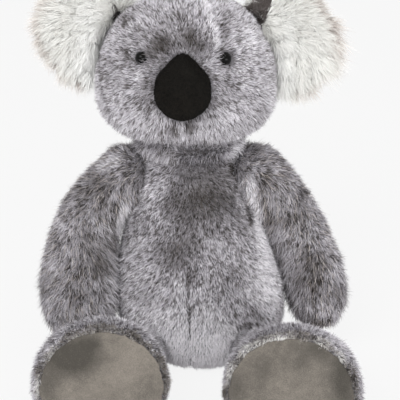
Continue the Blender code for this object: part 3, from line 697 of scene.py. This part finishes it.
def growFur(name, body, skin, look, comb, near=(), shadeAt=None, sizeAt=None, growAt=None):
    # the callers give the way it lies, its neighbours, its shade, its length and where it grows
    form = strandShape
    dice = np.random.default_rng(look["seed"])
    points, normals = rootsOn(skin, look["perMm2"], look["seed"])
    keep = points[:, 2] > form["lowest"]
    if growAt is not None:
        keep &= growAt(points, normals)
    bald = np.zeros(len(points))
    for line in look["seams"]:
        bald = np.maximum(bald, line["bald"] * nearLine(points, normals, line))
    keep &= dice.random(len(points)) > bald
    points, normals, bald = points[keep], normals[keep], bald[keep]
    room = roomAt(points, near, look["reach"])
    keep = room > form["clear"]
    points, normals, bald, room = points[keep], normals[keep], bald[keep], room[keep]
    count = len(points)
    crowd = rise(room, 0, look["reach"] * form["pressed"])

    shift = form["shift"] * noiseVectors(points, look["tuft"] * form["shiftSize"], noiseSeeds["tuft"])
    cell = np.floor(points / look["tuft"] + shift)
    length = look["length"] * (form["shortest"] + form["varied"] * dice.random(count))
    length *= 1 - form["balding"] * bald
    length *= 1 + look["ragged"] * (cellRandom(cell, noiseSeeds["ragged"]) - 0.5) * 2
    length *= look["crowdLeast"] + (1 - look["crowdLeast"]) * crowd
    if sizeAt is not None:
        length *= sizeAt(points, normals)

    swirl = noiseVectors(points, look["swirlSize"], noiseSeeds["swirl"])
    flow = unit(flatten(comb(points, normals) + swirl * look["swirl"], normals))
    wave = noise(points, look["swirlSize"] * form["waveSize"], noiseSeeds["lay"])
    lay = np.radians(look["lay"]) + wave * form["wave"]
    lay *= 1 - look["upright"] * (1 - crowd)  # pushed up where another piece is near
    loose = dice.normal(0, look["loose"], (count, 3))
    first, last = lay * form["start"], lay * form["end"]
    start = unit(normals * np.cos(first)[:, None] + flow * np.sin(first)[:, None] + loose)
    end = normals * np.cos(last)[:, None] + flow * np.sin(last)[:, None]
    end = unit(end + loose * form["endLoose"] - up * look["droop"])

    # each tip leans to the middle of its own tuft
    wander = np.stack([cellRandom(cell, noiseSeeds["wander"] + axis) for axis in range(3)], axis=1) - 0.5
    pull = flatten((cell + 0.5 + wander * form["wander"]) * look["tuft"] - points, normals) * look["gather"]

    side = unit(np.cross(start, normals) + dice.normal(0, 1e-3, (count, 3)))  # the chance keeps it from 0
    roll = dice.uniform(-form["roll"], form["roll"], count)[:, None]
    side = side * np.cos(roll) + np.cross(start, side) * np.sin(roll)
    width = look["width"] * (form["thinnest"] + form["thicker"] * dice.random(count))
    half = side * (width / 2)[:, None]
    thin = half * form["taper"]

    root = points - normals * form["buried"]
    knee = points + start * (length * form["knee"])[:, None] + pull * form["kneePull"]
    tip = knee + end * (length * form["tip"])[:, None] + pull * form["tipPull"]
    corners = np.stack((root - half, root + half, knee + thin, knee - thin, tip), 1)
    corners = np.clip(corners, furLow, furHigh)

    shade = look["shade"] + patchShade(points, normals, look["patches"])
    for line in look["seams"]:
        shade += line["shade"] * nearLine(points, normals, line)
    if shadeAt is not None:
        shade += shadeAt(points, normals)
    # painted shadow: the pile is darker where a neighbouring piece comes close, as shade falls in the
    # creases between pieces
    shade -= look["creaseShadow"] * (1 - crowd)
    cloud = noise(points, form["cloudSize"], noiseSeeds["cloud"])
    cloud += form["fine"] * noise(points, form["fineSize"], noiseSeeds["fineCloud"])
    shade += look["cloud"] * cloud
    shade += look["speckle"] * (cellRandom(cell, noiseSeeds["speckle"]) - 0.5) * 2
    fleck = cellRandom(np.floor(points / look["fleckSize"]), noiseSeeds["fleck"]) < look["fleckShare"]
    shade += np.where(fleck, -look["fleck"], look["fleck"] * look["fleckShare"])
    shade += look["speckle"] * dice.normal(0, form["own"], count)
    makeStrands(name, body, look, corners, np.clip(shade, form["darkest"], form["lightest"]))
    print(f"{name}: {count} strands")


mostStrands = 190000 / 3  # in one piece, at three triangles each


def ofSide(look, sign, **more):  # each side draws its own chances
    return look | {"seed": look["seed"] + sign} | more


def makeStrands(name, body, look, corners, shade):  # a quad and a tip for each
    pieces = max(1, math.ceil(len(corners) / mostStrands))
    order = np.argsort(corners[:, 0, 1], kind="stable")
    for number, part in enumerate(np.array_split(order, pieces)):
        count = len(part)
        mesh = bpy.data.meshes.new(name if pieces == 1 else f"{name}_{number + 1}")
        mesh.vertices.add(count * 5)
        mesh.vertices.foreach_set("co", corners[part].ravel())
        mesh.loops.add(count * 7)
        turns = np.arange(count)[:, None] * 5 + np.array((0, 1, 2, 3, 3, 2, 4))
        mesh.loops.foreach_set("vertex_index", turns.ravel())
        mesh.polygons.add(count * 2)
        starts = np.arange(count)[:, None] * 7 + np.array((0, 4))
        mesh.polygons.foreach_set("loop_start", starts.ravel())
        mesh.update(calc_edges=True)
        flat = np.empty((count, 7, 2))
        across = np.array((-1, 1, 1, -1, -1, 1, 0)) * strandMap["wide"] / 2
        margin, knee = strandMap["margin"], strandShape["knee"]
        flat[:, :, 0] = shade[part][:, None] * (1 - 2 * margin) + margin + across
        flat[:, :, 1] = np.array((0, 0, knee, knee, knee, knee, 1)) * strandMap["tall"] + strandMap["low"]
        for layer in ("OFBake", strandMap["name"]):
            mesh.uv_layers.new(name=layer).data.foreach_set("uv", flat.ravel())
        mesh.materials.append(materials[look["material"]])
        mesh.shade_smooth()
        fur = bpy.data.objects.new(mesh.name, mesh)
        bpy.context.scene.collection.objects.link(fur)
        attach(fur, body)


furLook = {
    "slot": "grey_fur", "material": "greyFur", "perMm2": 1.48, "width": 0.55 * mm, "length": 5.2 * mm,
    "lay": 46, "droop": 0.12, "loose": 0.22, "swirl": 0.45, "swirlSize": 20 * mm, "tuft": 2.4 * mm,
    "gather": 0.5, "ragged": 0.1, "reach": 7 * mm, "crowdLeast": 0.9, "creaseShadow": 0.16, "upright": 0.5,
    "shade": 0.55, "cloud": 0.08, "speckle": 0.10, "fleck": 0.34, "fleckShare": 0.30,
    "fleckSize": 1.4 * mm, "seams": (), "patches": (), "seed": 1,
}

torsoFur = furLook | {
    "seed": 11, "shade": 0.62, "length": 5.6 * mm, "seams": torsoLook["seams"],
    # lighter and darker patches of the pile; the first two, at the chest, are partly painted shadow under
    # the chin, the large light one at the low belly is partly painted light lifting the shade between the
    # legs, and the last three are painted shadow in the creases at the legs
    "patches": (
        (194, 168, 36, 18, -0.14), (206, 198, 28, 28, -0.42), (180, 205, 20, 16, -0.18),
        (178, 248, 20, 16, -0.30),
        (190, 270, 16, 12, -0.14), (233, 153, 9, 8, 0.32), (146, 158, 12, 10, 0.14),
        (245, 176, 6, 10, 0.60), (252, 197, 7, 16, 0.60), (260, 226, 8, 22, 0.55),
        (265, 262, 9, 30, 0.42), (270, 292, 9, 16, 0.28), (118, 215, 5, 26, 0.22),
        (114, 262, 6, 30, 0.24), (178, 280, 5, 9, 0.28), (160, 318, 34, 30, 0.10),
        (196, 354, 46, 32, 1.00), (150, 200, 16, 24, 0.10), (139, 330, 12, 12, -0.14),
        (242, 344, 8, 18, -0.16), (246, 318, 8, 14, -0.14),
    ),
    "spreadOver": 0.4, "spreadMost": 0.2,
    # heights from the neck
    "collar": (-18 * mm, -4 * mm), "collarLift": 0.3, "ruff": (-16 * mm, -4 * mm), "ruffLonger": 0.8,
}


def combTorso(points, normals):  # down, parting at the dart, and outwards round the neck
    flow = np.zeros_like(points)
    flow[:, 2] = -1
    most = torsoFur["spreadMost"]
    flow[:, 0] = np.clip((points[:, 0] - neck[0]) / torsoFur["spreadOver"], -most, most)
    collar = rise(points[:, 2] - neck[2], *torsoFur["collar"])[:, None]
    out = (points - neck) * np.array((1, 1, 0))
    return flow * (1 - collar) + (unit(out) + up * torsoFur["collarLift"]) * collar


def sizeTorso(points, normals):
    return 1 + torsoFur["ruffLonger"] * rise(points[:, 2] - neck[2], *torsoFur["ruff"])


growFur(
    "torso_fur", "torso", skins["torso"], torsoFur, combTorso,
    ("head", "neck", "arm_left", "arm_right", "leg_left", "leg_right"), sizeAt=sizeTorso,
)

neckFur = furLook | {
    "seed": 15, "shade": 0.66, "length": 10 * mm, "lay": 36, "reach": 2 * mm, "perMm2": 2.0,
    # the second patch, under the chin, is painted shadow of the head
    "patches": ((233, 148, 12, 10, 0.16), (186, 148, 30, 8, -0.16)),
}


def combNeck(points, normals):  # a ruff: out at its waist
    return (points - neck) * np.array((1, 1, -1))


growFur("neck_fur", "neck", skins["neck"], neckFur, combNeck, ("head", "torso"))
print("torso is furred")

noseMiddle = (trees["nose"][1] + trees["nose"][2]) / 2
headFur = furLook | {
    "seed": 21, "shade": 0.67, "length": 4.8 * mm, "reach": 6 * mm, "tuft": 2.2 * mm,
    "swirlSize": 15 * mm, "lay": 48, "seams": headLook["seams"], "fleckSize": 1.2 * mm,
    "patches": (
        (162, 46, 9, 9, -0.44), (190, 40, 7, 10, -0.44), (201, 49, 9, 6, -0.34),
        (178, 46, 26, 12, -0.14), (178, 26, 16, 10, -0.12), (155, 58, 9, 9, -0.26), (145, 36, 8, 7, -0.22),
        (200, 60, 8, 6, -0.12), (127, 24, 4, 10, -0.26), (129, 56, 4, 10, -0.36),
        (229, 58, 4, 8, -0.36), (222, 28, 5, 12, -0.26), (225, 80, 14, 6, -0.18),
        (149, 86, 6, 10, -0.22), (212, 96, 5, 14, -0.16), (150, 100, 5, 8, -0.20),
        (142, 76, 4, 8, 0.22), (217, 75, 3, 7, 0.20), (173, 124, 5, 5, -0.42),
        (190, 124, 5, 5, -0.42), (182, 141, 3, 3, -0.5), (114, 58, 9, 40, -0.06),
        # the last patch darkens the chin: painted shade under the head
        (246, 50, 16, 40, 0.06), (182, 134, 34, 8, -0.06),
    ),
    "behind": (-0.2, 0.5), "down": 0.3, "chin": (10 * mm, 40 * mm), "chinLonger": 0.5,
    "parting": {"reach": 10 * mm, "half": (-4 * mm, 4 * mm), "pull": 1.5},
    "eyeRing": {"reach": (7 * mm, 13 * mm), "half": (-2 * mm, 3 * mm), "longer": 1.0, "shorter": 1.4},
}


def combHead(points, normals):  # away from the nose in front, down behind
    out = unit(points - noseMiddle)
    behind = rise(-(normals @ front), *headFur["behind"])[:, None]
    flow = out * (1 - behind) - up * (behind + headFur["down"])
    parting = headFur["parting"]
    for side, sign in sides:  # it parts round the outer half of each eye and lies over the inner half
        away = points - eyes[side]
        near = np.exp(-((np.linalg.norm(away, axis=1) / parting["reach"]) ** 2))
        near *= rise(away[:, 0] * sign, *parting["half"])
        flow = flow * (1 - near[:, None]) + unit(away) * near[:, None] * parting["pull"]
    return flow


def sizeHead(points, normals):
    size = 1 + headFur["chinLonger"] * rise(noseMiddle[2] - points[:, 2], *headFur["chin"])
    ring = headFur["eyeRing"]
    for side, sign in sides:
        away = points - eyes[side]
        near = 1 - rise(np.linalg.norm(away, axis=1), *ring["reach"])
        size += near * (ring["longer"] - ring["shorter"] * rise(away[:, 0] * sign, *ring["half"]))
    return size


growFur(
    "head_fur", "head", skins["head"], headFur, combHead, ("nose", "torso", "eye_left", "eye_right"),
    sizeAt=sizeHead,
)

noseFur = furLook | {
    "seed": 25, "slot": "black_velour", "material": "velourNap", "perMm2": 3.0, "width": 0.4 * mm,
    "length": 1.3 * mm, "lay": 30, "reach": 1 * mm, "tuft": 2 * mm, "gather": 0.1, "shade": 0.35,
    "patches": ((182, 106, 16, 10, 0.25),),
}


def combDown(points, normals):  # and a little forward
    return np.zeros_like(points) + np.array((0, -0.15, -1))


growFur("nose_nap", "head", skins["nose"], noseFur, combDown, ("head",))
print("head is furred")

armFur = furLook | {
    "seed": 31, "shade": 0.50, "length": 8 * mm, "reach": 8 * mm, "tuft": 3.4 * mm, "swirl": 0.6,
    "lay": 50, "fleckSize": 1.8 * mm, "ragged": 0.15, "cloud": 0.16,
    # heights over and under the shoulder, and a normal's share to that side
    "over": (-10 * mm, 14 * mm), "low": (50 * mm, 90 * mm), "outside": (0.3, 0.8), "inside": (0.2, 0.8),
    "outsideLonger": 0.45, "insideLonger": 0.7,
}
armLines = {  # the pale strips beside the torso, and outside them dark lines of painted shadow in the crease between arm and torso
    "left": (
        seam(4.5, 0, 0.34, 0.0, (124, 205), (117, 225), (114, 250), (112, 285)),
        seam(1.5, 0, -0.4, 0.4, (126, 180), (116, 200), (109, 222), (107, 250)),
    ),
    "right": (
        seam(4.5, 0, 0.55, 0.0, (248, 178), (256, 200), (263, 225), (270, 250)),
        seam(1.5, 0, -0.3, 0.4, (254, 174), (264, 196), (271, 226), (276, 250)),
    ),
}
armPatches = {
    "left": (
        (112, 160, 16, 12, 0.36), (106, 186, 16, 12, -0.06), (82, 238, 16, 12, -0.12),
        (64, 222, 10, 16, 0.10), (92, 262, 16, 14, -0.14), (104, 285, 8, 40, 0.12),
        (66, 296, 14, 16, 0.04), (82, 322, 30, 8, -0.20),
    ),
    "right": (
        (268, 152, 14, 8, -0.04), (264, 178, 6, 10, -0.24), (276, 200, 12, 16, -0.20),
        (290, 230, 10, 24, 0.08), (308, 262, 14, 16, -0.14), (330, 250, 10, 26, 0.08),
        (318, 290, 12, 14, -0.12), (316, 318, 22, 6, -0.28), (292, 270, 6, 22, 0.10),
    ),
}
fringeFur = armFur | {
    "seed": 35, "slot": "white_pile", "material": "whiteFur", "perMm2": 0.07, "width": 0.4 * mm,
    "length": 11 * mm, "shade": 0.22, "fleck": 0.0, "speckle": 0.05, "cloud": 0.0, "creaseShadow": 0.0,
}

for side, sign in sides:
    arm = f"arm_{side}"
    near = ("torso", "head", f"leg_{side}")
    shoulder = joints[f"{arm}_swing"].z

    def combArm(points, normals):  # outwards over the shoulder, then down
        flow = combDown(points, normals)
        flow[:, 0] += sign * rise(points[:, 2] - shoulder, *armFur["over"])
        return flow

    def sizeArm(points, normals):  # longer on the inside, where it meets the torso, and outside low down
        low = rise(shoulder - points[:, 2], *armFur["low"])
        outside = armFur["outsideLonger"] * low * rise(normals[:, 0] * sign, *armFur["outside"])
        return 1 + armFur["insideLonger"] * rise(normals[:, 0] * -sign, *armFur["inside"]) + outside

    look = ofSide(armFur, sign, patches=armPatches[side], seams=armLines[side])
    growFur(f"{arm}_fur", arm, skins[arm], look, combArm, near, sizeAt=sizeArm)
    growFur(f"{arm}_fringe", arm, skins[arm], ofSide(fringeFur, sign), combArm, near)
print("arms are furred")

legFur = furLook | {
    "seed": 41, "shade": 0.68, "length": 5 * mm, "perMm2": 1.35,
    "patches": ((280, 322, 34, 9, -0.55), (258, 338, 16, 8, -0.20)),
    "along": (0, -0.9, -0.35),
    "turn": (-18 * mm, -2 * mm),  # from the sole: where it turns outwards
    "turnForward": 0.5, "turnShorter": 0.25, "outside": (0.3, 0.8), "outsideLonger": 0.45,
    "lighter": 0.06, "rimShade": -0.36, "rim": (-7.2 * mm, -3.2 * mm),
    "step": 10, "window": 8,  # degrees round the sole
}
rimFur = furLook | {
    "seed": 46, "material": "rimFur", "perMm2": 4.0, "length": 5 * mm, "width": 0.5 * mm, "lay": 36,
    "shade": 0.46, "reach": 1 * mm, "fleck": 0.2,
    "depth": 9 * mm, "overlap": 0.4 * mm, "inwards": 0.9,
}
rimPatches = {
    "left": ((54, 356, 8, 6, 0.6), (39, 386, 5, 12, 0.6), (82, 340, 10, 5, 0.5), (116, 338, 22, 6, 0.3)),
    "right": (
        (275, 338, 18, 7, 0.6), (252, 350, 12, 9, 0.65), (230, 372, 10, 14, 0.65), (322, 343, 12, 5, 0.4),
        (340, 356, 7, 6, 0.5), (358, 385, 4, 10, 0.4),
    ),
}


def growLeg(side, sign):
    leg = f"leg_{side}"
    places, normals = arraysOf(skins[f"sole_{side}"])
    middle = places.mean(0)
    out = unit(normals[normals @ front > soleLook["facing"]].mean(0)[None])[0]  # the way the sole faces
    wide = unit(np.cross(out, up)[None])[0]
    tall = np.cross(wide, out)

    def depthOf(points):
        return (points - middle) @ out

    def roundOf(points):  # angle and reach round the sole's middle
        across, rising = (points - middle) @ wide, (points - middle) @ tall
        return np.degrees(np.arctan2(rising, across)), np.hypot(across, rising)

    angle, reach = roundOf(places)
    marks = np.arange(-180, 181, legFur["step"])
    edge = np.array([reach[np.abs(angle - mark) < legFur["window"]].max() for mark in marks])

    def spokes(points):
        return unit(points - middle - depthOf(points)[:, None] * out)

    def turnOf(points):
        return rise(depthOf(points), *legFur["turn"])

    def combLeg(points, normals):  # down the leg to the foot, and out over the edge at the rim
        turn = turnOf(points)[:, None]
        outwards = spokes(points) + out * legFur["turnForward"]
        return np.array(legFur["along"]) * (1 - turn) + outwards * turn

    def combRim(points, normals):
        return out - spokes(points) * rimFur["inwards"]

    def shadeLeg(points, normals):
        return legFur["lighter"] + legFur["rimShade"] * rise(depthOf(points), *legFur["rim"])

    def sizeLeg(points, normals):
        outside = legFur["outsideLonger"] * rise(normals[:, 0] * sign, *legFur["outside"])
        return 1 - legFur["turnShorter"] * turnOf(points) + outside

    def growRim(points, normals):
        angle, reach = roundOf(points)
        beyond = reach > np.interp(angle, marks, edge) - rimFur["overlap"]
        return (depthOf(points) > -rimFur["depth"]) & beyond

    near = ("torso", f"sole_{side}", f"arm_{side}")
    growFur(f"{leg}_fur", leg, skins[leg], ofSide(legFur, sign), combLeg, near, shadeLeg, sizeLeg)
    look = ofSide(rimFur, sign, patches=rimPatches[side])
    growFur(f"{leg}_rim", leg, skins[leg], look, combRim, growAt=growRim)


for side, sign in sides:
    growLeg(side, sign)
print("legs are furred")

earFur = furLook | {
    "seed": 52, "slot": "white_pile", "material": "whiteFur", "shade": 0.58, "length": 13 * mm,
    "width": 0.5 * mm, "perMm2": 2.8, "lay": 60, "tuft": 6 * mm, "gather": 0.92, "swirl": 0.5,
    "swirlSize": 17 * mm,
    # painted light: lifts the head's shade off the ears beside the head
    "patches": ((96, 60, 16, 48, 0.60), (280, 60, 10, 44, 0.34)),
    "speckle": 0.05, "cloud": 0.03, "loose": 0.18, "ragged": 0.42, "reach": 8 * mm, "creaseShadow": 0.0,
    "fleck": 0.10, "fleckShare": 0.2, "upright": 0.2,
}
earBackFur = earFur | {
    "seed": 62, "slot": "dark_pile", "material": "darkFur", "shade": 0.5, "length": 8 * mm,
    "perMm2": 1.7, "speckle": 0.12, "fleck": 0.15,
}
earFoldFur = earBackFur | {"seed": 57, "length": 5 * mm, "perMm2": 5.0, "gather": 0.3, "tuft": 3 * mm}
earShape = {
    "root": (12 * mm, 6 * mm),  # inwards and up from the joint
    "fromRoot": 0.9, "fromMiddle": 0.25, "down": 0.3,  # the way the pile lies
    # distances from the middle, outwards, up and all round, and how much longer the pile is there
    "outer": (4 * mm, 30 * mm), "under": (0, 26 * mm), "outerLonger": {"left": 0.1, "right": 0.7},
    "top": (14 * mm, 40 * mm), "topLonger": -0.15,
    "round": (16 * mm, 44 * mm), "least": 0.75, "roundLonger": 0.45,
    "tip": 0.8, "besideFold": 0.4,  # shares of the length
    "edge": (0.76, 0.98), "outside": (-10 * mm, 6 * mm), "edgeShade": -0.28,
}
earFold = {  # where the dark lining turns forward beside the head
    "left": ((112, 4), (115, 6), (121, 15), (118, 17), (112, 23), (111, 18), (114, 14)),
    "right": ((224, -14), (277, -14), (272, 0), (264, 21), (260, 25), (248, 14), (234, 6), (224, -4)),
}


def insideOutline(points, outline):
    x, y = seenAt(points)
    inside = np.zeros(len(points), bool)
    for (x0, y0), (x1, y1) in zip(outline, (*outline[1:], outline[0])):
        if y0 == y1:
            continue
        crosses = (y0 > y) != (y1 > y)
        inside ^= crosses & (x < (x1 - x0) * (y - y0) / (y1 - y0) + x0)
    return inside


def growEar(side, sign):
    ear = f"ear_{side}"
    frontEar, backEar = f"{ear}_front", f"{ear}_back"
    inwards, upwards = earShape["root"]
    root = np.array(joints[f"{ear}_fold"]) + np.array((-sign * inwards, 0, upwards))
    _, low, high = trees[frontEar]
    middle = (low + high) / 2

    def awayOf(points):
        return np.linalg.norm((points - middle)[:, (0, 2)], axis=1)

    def combEar(points, normals):
        away = unit(points - root) * earShape["fromRoot"] + unit(points - middle) * earShape["fromMiddle"]
        return away - up * earShape["down"]

    def tipsOf(points, normals):
        reach = earFur["length"] * earShape["tip"]
        return points + unit(flatten(combEar(points, normals), normals)) * reach

    def sizeEar(points, normals):  # longest at the outer edge, below the top
        outer = rise((points[:, 0] - middle[0]) * sign, *earShape["outer"])
        outer *= 1 - rise(points[:, 2] - middle[2], *earShape["under"])
        top = rise(points[:, 2] - middle[2], *earShape["top"])
        size = earShape["least"] + earShape["roundLonger"] * rise(awayOf(points), *earShape["round"])
        size = size * (1 + earShape["topLonger"] * top) + earShape["outerLonger"][side] * outer
        beside = growFold(tipsOf(points, normals), normals)
        return size * np.where(beside, earShape["besideFold"], 1)

    def shadeEar(points, normals):
        edge = np.linalg.norm(((points - middle) / (high - low) * 2)[:, (0, 2)], axis=1)
        outside = rise((points[:, 0] - middle[0]) * sign, *earShape["outside"])
        return earShape["edgeShade"] * rise(edge, *earShape["edge"]) * outside

    def growFold(points, normals):
        return insideOutline(points, earFold[side]) & (normals @ front > 0)

    def growWhite(points, normals):
        return ~growFold(points, normals)

    look = ofSide(earFur, sign)
    growFur(
        f"{ear}_front_fur", ear, skins[frontEar], look, combEar, ("head", backEar), shadeEar, sizeEar,
        growWhite,
    )
    look = ofSide(earFoldFur, sign)
    growFur(f"{ear}_fold_fur", ear, skins[frontEar], look, combEar, ("head",), growAt=growFold)
    look = ofSide(earBackFur, sign)
    growFur(f"{ear}_back_fur", ear, skins[backEar], look, combEar, ("head", frontEar))


for side, sign in sides:
    growEar(side, sign)
print("ears are furred")

studio = {
    "floorSize": 6.0,
    "floorColour": 0.9,  # under the lamps
    "floorWhite": 0.942,  # as the camera sees it
    "shadowShare": 0.07,
    "world": 0.75,
    "white": 0.925,  # the world, as the camera sees it
    "key": {"place": (-0.7, -1.3, 1.5), "size": (1.2, 0.9), "power": 24.0},
    "fill": {"place": (0.8, -1.3, 0.35), "size": (1.0, 0.6), "power": 11.0},
}


def seenRays(tree, other):  # 1 for the camera's rays and for this other kind
    path = tree.nodes.new("ShaderNodeLightPath")
    return addMath(tree, "MAXIMUM", path.outputs["Is Camera Ray"], path.outputs[other])


def makeFloor():
    bpy.ops.object.select_all(action="DESELECT")
    bpy.ops.mesh.primitive_plane_add(size=studio["floorSize"], location=(0, 0, 0))
    floor = bpy.context.object
    floor.name = "studio_floor"
    material, tree, shader = newMaterial("studio_floor", 1.0)
    setInputs(shader, {"Base Color": (studio["floorColour"],) * 3 + (1,), "Specular IOR Level": 0.0})
    glow = tree.nodes.new("ShaderNodeEmission")
    glow.inputs["Color"].default_value = (studio["floorWhite"],) * 3 + (1,)
    seen = seenRays(tree, "Is Glossy Ray")
    mix = tree.nodes.new("ShaderNodeMixShader")
    tree.links.new(addMath(tree, "MULTIPLY", seen, 1 - studio["shadowShare"]), mix.inputs["Fac"])
    tree.links.new(shader.outputs["BSDF"], mix.inputs[1])
    tree.links.new(glow.outputs["Emission"], mix.inputs[2])
    tree.links.new(mix.outputs["Shader"], tree.nodes["Material Output"].inputs["Surface"])
    floor.data.materials.append(material)


def makeWorld():
    world = bpy.data.worlds.new("studio")
    bpy.context.scene.world = world
    world.use_nodes = True
    tree = world.node_tree
    light = tree.nodes["Background"]
    setInputs(light, {"Color": (1, 1, 1, 1), "Strength": studio["world"]})
    plain = tree.nodes.new("ShaderNodeBackground")
    plain.inputs["Color"].default_value = (studio["white"],) * 3 + (1,)
    mix = tree.nodes.new("ShaderNodeMixShader")
    tree.links.new(seenRays(tree, "Is Transmission Ray"), mix.inputs["Fac"])
    tree.links.new(light.outputs["Background"], mix.inputs[1])
    tree.links.new(plain.outputs["Background"], mix.inputs[2])
    tree.links.new(mix.outputs["Shader"], tree.nodes["World Output"].inputs["Surface"])


def addSoftbox(name):
    look = studio[name]
    bpy.ops.object.light_add(type="AREA", location=look["place"])
    lamp = bpy.context.object
    lamp.name = f"{name}_softbox"
    lamp.rotation_euler = (aim - Vector(look["place"])).to_track_quat("-Z", "Y").to_euler()
    lamp.data.shape = "RECTANGLE"
    lamp.data.size, lamp.data.size_y = look["size"]
    lamp.data.energy = look["power"]


makeFloor()
makeWorld()
addSoftbox("key")
addSoftbox("fill")
bpy.context.scene.view_settings.view_transform = "Standard"
print("studio is lit")
